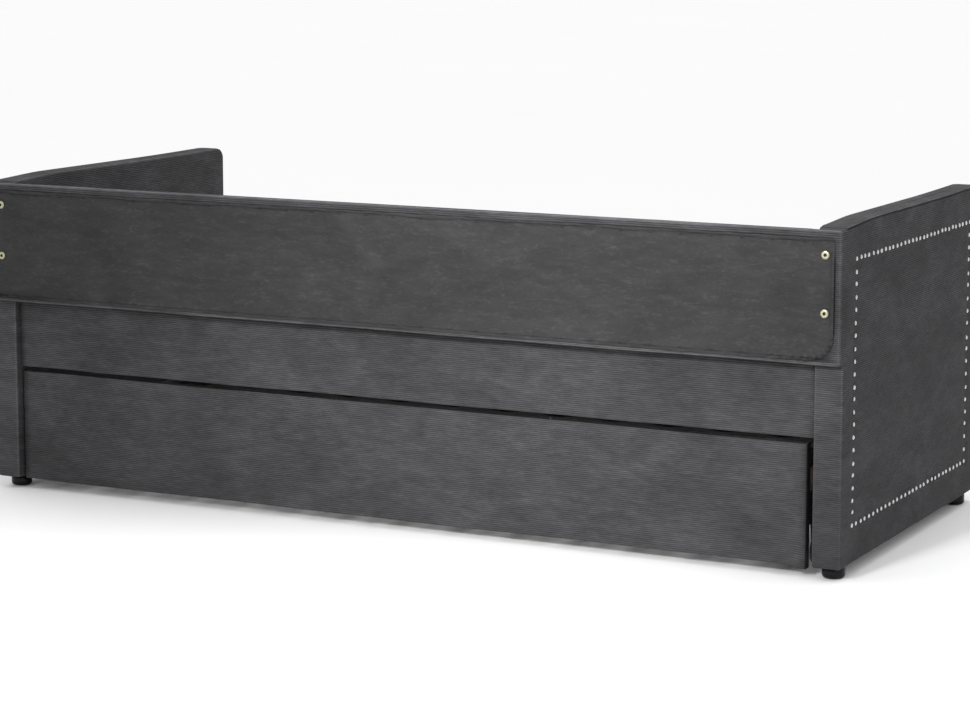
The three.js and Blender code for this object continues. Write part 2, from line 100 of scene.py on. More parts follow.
SLAT_COUNT = 13
SLAT_WIDTH = 70 * MM
BED_SLAT, TRUNDLE_SLAT = 18 * MM, 15 * MM  # their thickness
TAPE_OFFSET = 250 * MM  # of each tape from the slats' middle
TAPE_HALF_WIDTH = 15 * MM
TAPE_DROOP = 2.5 * MM  # between two slats

FOOT_TOP, FOOT_SOLE, FOOT_ROUNDING, FOOT_STUD = 27.7 * MM, 16 * MM, 8.5 * MM, 4 * MM
WHEEL_BORE, WHEEL_HUB, WHEEL_RIM = 3.6 * MM, 10 * MM, 25 * MM  # radii
WHEEL_WEB = 4.5 * MM  # half its thickness
WHEEL_SHOULDER = 4 * MM
SPOKES = 6
AXIS_HOLE = 1e-5  # a point on the axis, kept open by a hair

LENS = 102.56
LENS_SHIFT = (-0.0511, -0.0668)
CAMERA_PLACE = (-2.9613, 5.7056, 1.3750)
CAMERA_TURN = (26.254, 8.023, -0.18)  # yaw, pitch and roll in degrees
KEY_LIGHT = ((0.0, 5.2, 2.6), (-0.42, 0.4, 0.56), (0.9, 0.7), 9.4, 27)  # place, target, size, watts, spread
FILL_LIGHT = ((-0.1, -0.2, 2.8), (0.4, 0.0, 0.6), (3.0, 2.2), 25, 140)
PALE = (0.97, 0.97, 0.97)
FLOOR_REACH = 120
FAR_CLIP = 200

# --- camera


def shown(name, data):
    """A new object in the scene."""
    made = bpy.data.objects.new(name, data)
    bpy.context.scene.collection.objects.link(made)
    return made


def make_camera():
    """A long lens behind the bed's -X end, turned by yaw, pitch and roll."""
    data = bpy.data.cameras.new("camera")
    data.sensor_width = 36.0
    data.lens = LENS
    data.shift_x, data.shift_y = LENS_SHIFT
    data.clip_end = FAR_CLIP
    camera = shown("camera", data)
    yaw, pitch, roll = (math.radians(angle) for angle in CAMERA_TURN)
    forward = Vector((math.sin(yaw) * math.cos(pitch), -math.cos(yaw) * math.cos(pitch),
                      -math.sin(pitch)))
    level = Vector((-math.cos(yaw), -math.sin(yaw), 0))
    down = forward.cross(level)
    right = math.cos(roll) * level + math.sin(roll) * down
    down = math.cos(roll) * down - math.sin(roll) * level
    turn = Matrix((right, -down, -forward)).transposed()
    camera.matrix_world = Matrix.Translation(CAMERA_PLACE) @ turn.to_4x4()
    bpy.context.scene.camera = camera


# --- materials


class Look:
    """A material with one Principled shader, and short ways to add and link its nodes."""

    def __init__(self, name, color, roughness, metallic=0.0, **sockets):
        self.material = bpy.data.materials.new(name)
        self.material.use_nodes = True
        self.tree = self.material.node_tree
        self.shader = self.tree.nodes["Principled BSDF"]
        self.set(self.shader, Base_Color=(*color, 1), Roughness=roughness, Metallic=metallic, **sockets)
        self.where = self.node("ShaderNodeTexCoord").outputs["Object"]

    @staticmethod
    def set(node, **values):
        for socket, value in values.items():
            node.inputs[socket.replace("_", " ")].default_value = value

    def node(self, kind, **settings):
        made = self.tree.nodes.new(kind)
        for key, value in settings.items():
            setattr(made, key, value)
        return made

    def link(self, output, target):
        self.tree.links.new(output, target)

    def noise(self, scale, detail=3.0, stretch=(1, 1, 1), distortion=0.0, turn=(0, 0, 0)):
        """Noise from 0 to 1, its coordinates multiplied by stretch."""
        mapping = self.node("ShaderNodeMapping")
        self.set(mapping, Scale=stretch, Rotation=turn)
        self.link(self.where, mapping.inputs["Vector"])
        texture = self.node("ShaderNodeTexNoise")
        self.set(texture, Scale=scale, Detail=detail, Distortion=distortion)
        self.link(mapping.outputs["Vector"], texture.inputs["Vector"])
        return texture.outputs["Fac"]

    def attribute(self, name):
        return self.node("ShaderNodeAttribute", attribute_name=name).outputs["Fac"]

    def math(self, operation, a, b):
        made = self.node("ShaderNodeMath", operation=operation)
        for socket, value in zip(made.inputs, (a, b)):
            if isinstance(value, (int, float)):
                socket.default_value = value
            else:
                self.link(value, socket)
        return made.outputs[0]

    def ramp(self, value, stops):
        """A colour for each value, from (position, colour or grey) stops."""
        made = self.node("ShaderNodeValToRGB")
        elements = made.color_ramp.elements
        while len(elements) < len(stops):
            elements.new(0.5)
        for element, (position, color) in zip(elements, stops):
            element.position = position
            element.color = (*np.broadcast_to(color, 3), 1)
        self.link(value, made.inputs["Fac"])
        return made.outputs["Color"]

    def spread(self, value, low, high):
        """A number from low to high as the value goes from 0 to 1."""
        made = self.node("ShaderNodeMapRange")
        self.set(made, To_Min=low, To_Max=high)
        self.link(value, made.inputs["Value"])
        return made.outputs["Result"]

    def multiply(self, product, *factors):
        for factor in factors:
            made = self.node("ShaderNodeMix", data_type="RGBA", blend_type="MULTIPLY")
            self.set(made, Factor=1)
            self.link(product, made.inputs["A"])
            self.link(factor, made.inputs["B"])
            product = made.outputs["Result"]
        return product

    def color(self, output):
        self.link(output, self.shader.inputs["Base Color"])

    def roughness(self, output):
        self.link(output, self.shader.inputs["Roughness"])

    def bump(self, *heights):
        """Bumps from (value, distance in metres) pairs, one on top of the other."""
        normal = None
        for value, distance in heights:
            made = self.node("ShaderNodeBump")
            self.set(made, Distance=distance)
            self.link(value, made.inputs["Height"])
            if normal is not None:
                self.link(normal, made.inputs["Normal"])
            normal = made.outputs["Normal"]
        self.link(normal, self.shader.inputs["Normal"])


def corduroy():
    """Charcoal corduroy: brushed pile patches, soft sheen, painted shade in grooves and seams, painted edge
    highlights.
    """
    look = Look("corduroy", (0.08, 0.08, 0.084), 0.9, Sheen_Weight=0.12, Sheen_Roughness=0.15,
                Sheen_Tint=(0.7, 0.7, 0.74, 1), Specular_IOR_Level=0.12)
    patches = look.noise(7.0, 4.0, stretch=(0.8, 0.8, 1.5), distortion=0.5)
    strokes = look.noise(38.0, 3.0, stretch=(0.5, 0.5, 1.4), distortion=0.3)
    combed = look.noise(150.0, 3.0, stretch=(0.3, 0.3, 1.2), distortion=0.4)
    fibres = look.noise(900.0, 2.0)
    both = look.math("ADD", look.math("MULTIPLY", patches, 0.40), look.math("MULTIPLY", strokes, 0.30))
    both = look.math("ADD", both, look.math("MULTIPLY", combed, 0.30))
    base = look.ramp(both, [(0.36, (0.044, 0.0436, 0.0459)), (0.5, (0.0625, 0.0619, 0.0651)),
                            (0.64, (0.087, 0.0862, 0.0907))])
    # painted shade: darker in the grooves between the wales, read from the crest attribute
    wales = look.ramp(look.attribute("crest"), [(0.0, 0.40), (0.85, 0.97)])
    # painted highlight: crest above 1 lightens the fabric on rounded edges
    painted_highlight = look.ramp(look.math("SUBTRACT", look.attribute("crest"), 1.0), [(0.0, 1.0), (1.0, 2.6)])
    # painted shade: crest below 0 darkens seams and gaps almost to black
    painted_shade = look.ramp(look.math("ADD", look.attribute("crest"), 1.0), [(0.0, 0.03), (1.0, 1.0)])
    wales = look.multiply(wales, painted_highlight, painted_shade)
    speckle = look.ramp(fibres, [(0.3, 0.72), (0.7, 1.0)])
    look.color(look.multiply(base, wales, speckle))
    look.roughness(look.spread(strokes, 0.82, 0.97))
    look.bump((patches, 4 * MM), (strokes, 1.2 * MM), (combed, 0.5 * MM), (fibres, 0.25 * MM))
    return look.material


def non_woven():
    """Thin grey non-woven cloth: mottled, with diagonal streaks, pale fibres and pressed dots."""
    look = Look("non_woven", (0.05, 0.05, 0.05), 0.85, Sheen_Weight=0.05, Sheen_Roughness=0.5,
                Specular_IOR_Level=0.2)
    clouds = look.noise(6.0, 5.0, stretch=(0.7, 1, 1.3), distortion=0.8)
    streaks = look.noise(34.0, 4.0, stretch=(0.4, 1, 1.6), distortion=0.5, turn=(0, 0.45, 0))
    fibres = look.noise(450.0, 3.0)
    threads = look.noise(85.0, 4.0, stretch=(0.5, 1, 1.5), distortion=1.4, turn=(0, -0.7, 0))
    both = look.math("ADD", look.math("MULTIPLY", clouds, 0.5), look.math("MULTIPLY", streaks, 0.5))
    base = look.ramp(both, [(0.34, 0.022), (0.5, 0.030), (0.66, 0.040)])
    speckle = look.ramp(fibres, [(0.25, 0.72), (0.75, 1.0)])
    pale = look.ramp(threads, [(0.52, 1.0), (0.72, 1.45)])
    shadow = look.ramp(look.attribute("crest"), [(0.0, 0.05), (1.0, 1.0)])
    look.color(look.multiply(base, speckle, pale, shadow))
    look.roughness(look.spread(streaks, 0.75, 0.95))
    dots = look.node("ShaderNodeTexVoronoi")
    look.set(dots, Scale=420)
    look.link(look.where, dots.inputs["Vector"])
    look.bump((clouds, 3 * MM), (streaks, 0.9 * MM), (dots.outputs["Distance"], 0.15 * MM))
    return look.material


def wood(name, light, dark, ring_scale):
    """Sawn softwood with its grain along Y for slats or along X for boards."""
    look = Look(name, light, 0.65, Specular_IOR_Level=0.12)
    along = (0.12, 1, 1) if name == "timber" else (1, 0.12, 1)
    grain = look.noise(ring_scale, 5.0, stretch=along, distortion=1.1)
    fine = look.noise(ring_scale * 9, 3.0, stretch=tuple(0.5 * a for a in along))
    base = look.ramp(grain, [(0.35, dark), (0.52, light), (0.7, tuple(0.88 * c for c in light))])
    shade = look.ramp(fine, [(0.3, (0.84, 0.82, 0.78)), (0.65, 1.0)])
    look.color(look.multiply(base, shade))
    look.roughness(look.spread(fine, 0.5, 0.78))
    look.bump((grain, 0.25 * MM), (fine, 0.12 * MM))
    return look.material


def metal(name, color, roughness, stain, scale=300.0, recessed=False):
    """Plated steel, faintly mottled, with fine marks; recessed paints shade on it where a mesh's crest is
    low.
    """
    look = Look(name, color, roughness, metallic=1.0)
    mottle = look.noise(scale, 4.0, distortion=0.3)
    marks = look.noise(scale * 6, 2.0, stretch=(1, 0.2, 1))
    plating = look.ramp(mottle, [(0.3, stain), (0.6, color)])
    if recessed:
        shadow = look.ramp(look.attribute("crest"), [(0.0, 0.06), (1.0, 1.0)])
        plating = look.multiply(plating, shadow)
    look.color(plating)
    look.roughness(look.spread(marks, roughness * 0.8, roughness * 1.5))
    look.bump((marks, 0.03 * MM))
    return look.material


def coated(name, color, roughness, grain, depth, **sockets):
    """Paint or moulded plastic with a fine surface grain."""
    look = Look(name, color, roughness, **sockets)
    fine = look.noise(grain, 3.0)
    dull = look.noise(40.0, 3.0, distortion=0.4)
    look.color(look.ramp(dull, [(0.3, tuple(0.8 * c for c in color)), (0.7, tuple(1.25 * c for c in color))]))
    look.roughness(look.spread(dull, roughness * 0.85, roughness * 1.3))
    look.bump((fine, depth))
    return look.material


def webbing():
    """Woven tape that holds the slats in line."""
    look = Look("webbing", (0.03, 0.03, 0.03), 0.9, Specular_IOR_Level=0.1)
    weave = look.node("ShaderNodeTexWave", wave_type="BANDS", bands_direction="DIAGONAL")
    look.set(weave, Scale=260.0, Distortion=0.6)
    look.link(look.where, weave.inputs["Vector"])
    look.color(look.ramp(weave.outputs["Fac"], [(0.2, (0.016, 0.016, 0.017)), (0.8, (0.045, 0.044, 0.044))]))
    look.bump((weave.outputs["Fac"], 0.3 * MM))
    return look.material


# --- mesh helpers


def lines(points, step):
    """A polyline sampled again at an even step, its ends kept."""
    points = np.array(points, float)
    along = np.concatenate([[0], np.cumsum(np.linalg.norm(np.diff(points, axis=0), axis=1))])
    at = np.linspace(0, along[-1], max(2, round(along[-1] / step) + 1))
    return np.stack([np.interp(at, along, points[:, k]) for k in range(points.shape[1])], axis=1)


def arc(centre, radius, start, stop, steps=6):
    """Points of an arc in a plane, angles in degrees."""
    angles = np.radians(np.linspace(start, stop, steps + 1))
    return [(centre[0] + radius * math.cos(a), centre[1] + radius * math.sin(a)) for a in angles]


def wales(count):
    """The height of the corduroy's ribs, from 0 in a groove to 1 on a crest."""
    phase = np.arange(count) % RIB_STEPS / RIB_STEPS
    return np.abs(np.sin(math.pi * phase)) ** 0.7


def wander(points, seed, wavelength, terms=14):
    """A smooth, seeded field from about -1 to 1 at each point."""
    draw = np.random.default_rng(seed)
    field = np.zeros(points.shape[:-1])
    for _ in range(terms):
        direction = draw.normal(size=3)
        direction *= draw.uniform(0.5, 1.5) * 2 * math.pi / wavelength / np.linalg.norm(direction)
        field += np.sin(points @ direction + draw.uniform(0, 2 * math.pi))
    return field / math.sqrt(terms)


def smooth(value, start, stop):
    """0 before start, 1 after stop, and a smooth step between them."""
    t = np.clip((value - start) / (stop - start), 0, 1)
    return t * t * (3 - 2 * t)


def peak(value, width):
    """1 at zero, falling to nothing over a width or two on each side."""
    return np.exp(-((value / width) ** 2))


def normals(loops):
    """The normal of a surface of closed loops, at each point."""
    around = np.roll(loops, -1, axis=1) - np.roll(loops, 1, axis=1)
    across = np.gradient(loops, axis=0)
    found = np.cross(around, across)
    return found / np.maximum(np.linalg.norm(found, axis=2, keepdims=True), 1e-12)


def outward_normals(loops):
    """The normals of a shell of level loops, turned to face out."""
    facing = normals(loops)
    row = len(loops) // 2
    away = loops[row, :, 0] - loops[row, :, 0].mean()
    return facing if (facing[row, :, 0] * away).sum() > 0 else -facing


def volume(vertices, quads):
    a, b, c, d = (vertices[quads[:, i]] for i in range(4))
    return float((np.cross(b - a, c - a) * a).sum() + (np.cross(c - a, d - a) * a).sum())


def loft(loops, crest=None, caps=True):
    """A closed patch through loops of points, with a face over its first and last loop."""
    loops = np.asarray(loops, float)
    rows, count, _ = loops.shape
    vertices = loops.reshape(-1, 3)
    row = np.arange(rows - 1)[:, None] * count
    near, far = np.arange(count)[None, :], (np.arange(count)[None, :] + 1) % count
    quads = np.stack([row + near, row + far, row + count + far, row + count + near], -1).reshape(-1, 4)
    faces = quads.tolist()
    if caps:
        faces += [list(range(count))[::-1], list(range((rows - 1) * count, rows * count))]
    middle = vertices.mean(0)
    if volume(vertices - middle, quads) < 0:
        faces = [face[::-1] for face in faces]
    shade = np.ones(len(vertices)) if crest is None else np.asarray(crest, float).reshape(-1)
    return {"vertices": vertices, "faces": faces, "crest": shade}


def moved(patch, matrix):
    """A copy of a patch, moved by a matrix that doesn't mirror."""
    turn = np.array(matrix)[:3]
    return {**patch, "vertices": patch["vertices"] @ turn[:, :3].T + turn[:, 3]}


def piece(name, patches, material, body, replaces=()):
    """One shown piece made of patches: its material, its body and the nodes it stands for."""
    vertices, faces, crest, start = [], [], [], 0
    for patch in patches:
        vertices.append(patch["vertices"])
        crest.append(patch["crest"])
        faces += [[i + start for i in face] for face in patch["faces"]]
        start += len(patch["vertices"])
    mesh = bpy.data.meshes.new(name)
    mesh.from_pydata(np.concatenate(vertices).tolist(), [], faces)
    # crest carries wale height together with painted shade and painted highlight, for the materials to read
    mesh.attributes.new("crest", "FLOAT", "POINT").data.foreach_set("value", np.concatenate(crest))
    mesh.polygons.foreach_set("use_smooth", np.ones(len(mesh.polygons), bool))
    mesh.materials.append(material)
    made = shown(name, mesh)
    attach(made, body)
    if replaces:
        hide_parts(*replaces)
    return made


def sharpen(made, degrees=35):
    """Keeps the piece's hard edges hard."""
    made.data.set_sharp_from_angle(angle=math.radians(degrees))
    return made


def ring(half_x, half_y, radius, counts, steps=4):
    """A rounded rectangle with a fixed number of points on each side: +X, +Y, -X, -Y."""
    radius = min(radius, 0.98 * half_x, 0.98 * half_y)
    inner_x, inner_y = half_x - radius, half_y - radius
    corners = [(inner_x, -inner_y), (inner_x, inner_y), (-inner_x, inner_y), (-inner_x, -inner_y)]
    points = []
    for side, (centre, count) in enumerate(zip(corners, counts)):
        start = -90 + 90 * side
        points += arc(centre, radius, start, start + 90, steps)
        turn = math.radians(start + 90)
        after = corners[(side + 1) % 4]
        out = (radius * math.cos(turn), radius * math.sin(turn))
        for t in np.arange(1, count + 1) / (count + 1):
            points.append((centre[0] + (after[0] - centre[0]) * t + out[0],
                           centre[1] + (after[1] - centre[1]) * t + out[1]))
    return np.array(points)


def bar(low, high, edge, axis, steps=2):
    """A straight bar between two corners, its length along an axis, with all its edges rounded."""
    low, high = np.array(low, float), np.array(high, float)
    middle, half = (low + high) / 2, (high - low) / 2
    across = [a for a in range(3) if a != axis]
    length = half[axis]
    rounding = [(edge * (1 - math.cos(a)), edge * (1 - math.sin(a))) for a in np.radians([0, 30, 60, 90])]
    along = [(at - length, inset) for at, inset in rounding]
    along += [(length - at, inset) for at, inset in rounding[::-1]]
    loops = []
    for at, inset in along:
        flat = ring(half[across[0]] - inset, half[across[1]] - inset, edge, (1, 1, 1, 1), steps)
        loop = np.zeros((len(flat), 3))
        loop[:, across[0]] = middle[across[0]] + flat[:, 0]
        loop[:, across[1]] = middle[across[1]] + flat[:, 1]
        loop[:, axis] = middle[axis] + at
        loops.append(loop)
    return loft(loops)


def circle(sides):
    """Points round the unit circle."""
    angles = np.linspace(0, 2 * math.pi, sides, endpoint=False)
    return np.stack([np.cos(angles), np.sin(angles)], axis=1)


def level(points, height):
    """Points of a plane, all at one height."""
    return np.column_stack([points, np.full(len(points), height)])


def turned(profile, sides, shade=None):
    """A turned patch about Z, from [radius, height] points, both ends on or near the axis."""
    unit = circle(sides)
    loops = [level(unit * max(radius, AXIS_HOLE), height) for radius, height in profile]
    return loft(loops, None if shade is None else np.repeat(shade, sides))


def axis_matrix(place, direction):
    """A matrix that turns +Z to a direction and moves the origin to a place."""
    turn = Vector(direction).to_track_quat("Z", "Y").to_matrix().to_4x4()
    return Matrix.Translation(place) @ turn


# --- padded shells


def shell_rows(bottom, top, half_width, edge, hem, padding):
    """The (inset, height, wale) rows of a padded shell: its lining from the top down, then its face."""
    lining = [(half_width - 0.4 * MM, top - padding), (padding, top - padding),
              (padding, bottom + 3 * MM), (hem, bottom + 3 * MM)]
    face = [(hem, bottom + 0.8 * MM), (edge, bottom)]
    face += [(edge - edge * math.sin(a), bottom + edge - edge * math.cos(a))
             for a in np.radians([20, 45, 70, 90])]
    face += [(edge - edge * math.cos(a), top - edge + edge * math.sin(a))
             for a in np.radians([0, 20, 45, 70, 90])]
    face += [(half_width - 0.4 * MM, top)]
    face = lines(face, RIB_PITCH / RIB_STEPS)
    rows = np.concatenate([np.array(lining), face])
    heights = np.pad(wales(len(face)), (len(lining), 0))
    on_face = np.pad(np.ones(len(face)), (len(lining), 0))
    return rows, heights, on_face


def nail_places(side):
    """(y, z) of each nailhead on an arm's outer face, set by hand and so a little uneven."""
    low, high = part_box(f"{side}_arm_cover")
    rear, front = high.y - NAIL_INSET, low.y + NAIL_INSET
    corners = [(rear, NAIL_LOW), (rear, NAIL_HIGH), (front, NAIL_HIGH), (front, NAIL_LOW)]
    draw = np.random.default_rng(11 if side == "left" else 12)
    places = []
    for start, end, count in zip(corners, corners[1:] + corners[:1],
                                 (NAILS_REAR, NAILS_TOP, NAILS_FRONT, NAILS_BOTTOM)):
        way = np.array(end) - np.array(start)
        across = np.array([-way[1], way[0]]) / np.linalg.norm(way)
        for i in range(count - 1):
            slip = draw.normal(0, 1.3 * MM) if i else 0.0
            places.append(np.array(start) + way * i / (count - 1)
                          + way / np.linalg.norm(way) * slip + across * draw.normal(0, 0.6 * MM))
    return np.array(places)


def nail_dip(points, side):
    """How far the nails pull the outer face in, at each point."""
    low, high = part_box(f"{side}_arm_cover")
    y, z = points[..., 1], points[..., 2]
    middle_y, half_y = (low.y + high.y) / 2, (high.y - low.y) / 2 - NAIL_INSET
    middle_z, half_z = (NAIL_LOW + NAIL_HIGH) / 2, (NAIL_HIGH - NAIL_LOW) / 2
    out_y, out_z = np.abs(y - middle_y) - half_y, np.abs(z - middle_z) - half_z
    outside = np.hypot(np.maximum(out_y, 0), np.maximum(out_z, 0))
    away = np.where((out_y < 0) & (out_z < 0), np.maximum(out_y, out_z), outside)
    dip = NAIL_DIP * peak(away, NAIL_DIP_WIDTH)
    crown = MM * smooth(-away, 0.01, 0.09)
    for place_y, place_z in nail_places(side):
        near = (y - place_y) ** 2 + (z - place_z) ** 2
        dip = dip + 0.9 * MM * np.exp(-near / (7 * MM) ** 2)
    return crown - dip


def make_arm(side, sign, material):
    """A padded arm: one cover over its wooden core, a seam along the outer top edge."""
    low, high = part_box(f"{side}_arm_cover")
    middle, half = (low + high) / 2, (high - low) / 2
    rows, heights, on_face = shell_rows(low.z, high.z, half.x, ARM_EDGE, 14 * MM, PADDING)
    counts = (64, 5, 64, 5)
    loops = []
    for inset, z in rows:
        rise = np.clip(z - (high.z - ARM_TOP_CORNER), 0, ARM_TOP_CORNER)
        corner = ARM_TOP_CORNER - math.sqrt(ARM_TOP_CORNER**2 - rise**2)
        round_corner = ARM_EDGE + 10 * MM * rise / ARM_TOP_CORNER
        flat = ring(half.x - inset, half.y - inset - corner, round_corner, counts)
        loops.append(level(flat + (middle.x, middle.y), z))
    loops = np.array(loops)
    facing = outward_normals(loops)
    outer = smooth(sign * facing[..., 0], 0.3, 0.9)
    x, y, z = (loops[..., k] for k in range(3))
    edge_out = np.minimum(np.abs(np.abs(y - middle.y) - half.y), np.abs(z - high.z))
    push = SOFTNESS * wander(loops, 3 if sign < 0 else 4, 0.22) * smooth(edge_out, 0, 0.03)
    push = push + outer * nail_dip(loops, side)
    crease = high.z - ARM_CREASE_DROP - 0.5 * MM * wander(loops, 7, 0.15)
    push = push - 1.3 * MM * outer * peak(z - crease, 0.9 * MM)
    push = push - RIB_HEIGHT * (1 - heights[:, None])
    loops = loops + facing * (push * on_face[:, None])[..., None]
    sag = ARM_SAG * smooth(y, high.y - ARM_SAG_LENGTH, high.y) * smooth(z, high.z - 0.12, high.z)
    proud = ARM_CROWN + ARM_FRONT_CROWN * np.clip((-y - 0.15) / 0.32, 0, 1) ** 1.5
    loops[..., 2] += proud * smooth(z, high.z - 0.06, high.z - 0.005) - sag
    crest = np.repeat(heights[:, None], loops.shape[1], axis=1)
    # painted shade in the seam's crease along the outer top edge
    seam = outer * peak(z - crease, 1.5 * MM)
    crest = crest * (1 - seam) - 0.5 * seam
    # painted highlight along the rounded corners and top edges, added to crest below
    corner_x, corner_y = half.x - np.abs(x - middle.x), half.y - np.abs(y - middle.y)
    painted_highlight = np.maximum(1 - smooth(np.maximum(corner_x, corner_y), 2 * MM, 5 * MM),
                        1 - smooth(np.maximum(corner_x, high.z - z), 2 * MM, 5 * MM))
    rear = smooth(facing[..., 1], 0.3, 0.9)
    # painted shade darkens the near arm's rear face towards the floor; painted light lightens the far arm's
    # rear face
    if sign < 0:
        crest = crest * (1 - 0.45 * rear * (1 - smooth(z, 0.05, 0.5)))
    else:
        crest = crest + 0.22 * rear * on_face[:, None]
    crest = crest + 0.45 * painted_highlight * np.repeat(on_face[:, None], loops.shape[1], axis=1) * (crest > 0.5)
    return piece(f"{side}_arm_upholstery", [loft(loops, crest)], material, "bed",
                 [f"{side}_arm_cover"])


def make_back(material):
    """The back panel's cover: a slab behind the arms and a crowned pad between them."""
    low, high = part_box("back_cover")
    arm_low, arm_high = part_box("right_arm_cover")
    front = arm_high.y + 0.3 * MM
    middle_y, half = (front + high.y) / 2, Vector((high.x, (high.y - front) / 2, 0))
    rows, heights, on_face = shell_rows(low.z, high.z, half.y, BACK_EDGE, BACK_HEM, SKIN)
    loops = []
    for inset, z in rows:
        flat = ring(half.x - inset, half.y - inset, BACK_EDGE, (3, 96, 3, 96))
        loops.append(level(flat + (0, middle_y), z))
    loops = np.array(loops)
    facing = outward_normals(loops)
    push = 0.5 * SOFTNESS * (wander(loops, 21, 0.16) - 1) - RIB_HEIGHT * (1 - heights[:, None])
    loops = loops + facing * (push * on_face[:, None])[..., None]
    middle_z, half_z = (low.z + high.z) / 2, (high.z - low.z) / 2
    x, y, z = (loops[..., k] for k in range(3))
    wave = 0.9 * MM * wander(loops, 22, 0.35)
    z += wave * on_face[:, None] * smooth(np.abs(z - middle_z), 0.08, 0.13)
    cover_low, cover_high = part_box("back_dust_cover")
    beside = np.minimum(cover_high.x - np.abs(x), np.minimum(z - cover_low.z, cover_high.z - z))
    rear_face = y > middle_y
    crest = np.repeat(heights[:, None], loops.shape[1], axis=1)
    # painted shade: the rear face under the dust cover is darkened, seen only through the gap at its edge
    crest = crest * np.where(rear_face & (beside > -MM), 0.0, 1.0)
    from_end, from_bottom, from_top = high.x - np.abs(x), z - low.z, high.z - z
    # painted shade in the mitre fold at each lower corner of the rear face
    mitre = peak(from_end - from_bottom, 1.3 * MM) * (from_end < 16 * MM) * rear_face
    # painted highlight on the rounded top edge and ends; the border below the dust cover is lightened the
    # same way
    painted_highlight = np.maximum(1 - smooth(from_top, 1.5 * MM, 3.5 * MM),
                        0.7 * (1 - smooth(from_end, 1.5 * MM, 4 * MM)))
    border = (1 - smooth(from_bottom, 6 * MM, 10 * MM)) * smooth(from_bottom, 0, 2 * MM)
    painted_highlight = np.maximum(painted_highlight, 0.55 * border)
    crest = crest * (1 - 0.85 * mitre) + 0.7 * painted_highlight * on_face[:, None] * rear_face
    patches = [loft(loops, crest)]

    pad_half, pad_depth, pad_top = arm_low.x - PAD_END_GAP, front - low.y, high.z - MM
    roll = [(pad_depth * math.sin(a) ** 0.6, PAD_ROLL * (1 - math.cos(a)))
            for a in np.radians([15, 30, 50, 70, 90])]
    sole = low.z - PAD_SOLE
    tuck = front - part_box("rear_rail_cover")[1].y - MM
    outline = [(0.0, sole - PAD_TUCK), (tuck - 0.3 * MM, sole - PAD_TUCK), (tuck, sole),
               *[(d, sole + 0.1 * h) for d, h in roll if d > tuck],
               *[(d, pad_top - h) for d, h in roll[::-1]], (0.0, pad_top)]
    outline = lines(outline, RIB_PITCH / RIB_STEPS)
    inner = np.array([(0.0, high.z - 3 * MM), (0.0, low.z + 3 * MM)])
    profile = np.concatenate([outline, inner])
    on_pad = np.pad(np.ones(len(outline)), (0, len(inner)))
    rib = np.pad(wales(len(outline)), (0, len(inner)))
    rounded = PAD_END * (1 - np.cos(np.radians([0, 25, 45, 65, 90])))
    middle = np.linspace(-pad_half + 20 * MM, pad_half - 20 * MM, 110)
    loops = []
    for x in np.concatenate([-pad_half + rounded, middle, pad_half - rounded[::-1]]):
        end = np.clip((pad_half - abs(x)) / PAD_END, 0, 1)
        depth = 0.25 + 0.75 * math.sqrt(1 - (1 - end) ** 2)
        loops.append(np.column_stack([np.full(len(profile), x), front - profile[:, 0] * depth,
                                      middle_z + (profile[:, 1] - middle_z) * (0.985 + 0.015 * depth)]))
    loops = np.array(loops)
    out = smooth(front - loops[..., 1], 4 * MM, pad_depth)
    across = 1 - np.abs((loops[..., 2] - middle_z) / half_z) ** 2.5
    crown = PAD_CROWN * across * smooth(pad_half - np.abs(loops[..., 0]), 0, 0.12)
    crown = crown + 1.2 * MM * wander(loops, 23, 0.2) - RIB_HEIGHT * (1 - rib[None, :])
    loops[..., 1] -= crown * out * on_pad[None, :]
    patches.append(loft(loops, np.repeat(rib[None, :], len(loops), axis=0)))
    made = piece("back_upholstery", patches, material, "bed", ["back_cover"])


# --- wrapped boards


def wrap_profile(depth, bottom, top, edge, hem):
    """The (depth, height) points of a cover round a board, open on the inner side, and its wales."""
    face = [(depth, bottom + hem), *arc((depth - edge, bottom + edge), edge, 0, -90, 3),
            *arc((edge, bottom + edge), edge, -90, -180, 3), *arc((edge, top - edge), edge, 180, 90, 3),
            *arc((depth - edge, top - edge), edge, 90, 0, 3), (depth, top - hem)]
    face = lines(face, RIB_PITCH / RIB_STEPS)
    near, far = SKIN, depth - SKIN
    lining = np.array([(far, top - hem), (far, top - near), (near, top - near), (near, bottom + near),
                       (far, bottom + near), (far, bottom + hem)])
    heights = np.pad(wales(len(face)), (0, len(lining)))
    on_face = np.pad(np.ones(len(face)), (0, len(lining)))
    return np.concatenate([face, lining]), heights, on_face


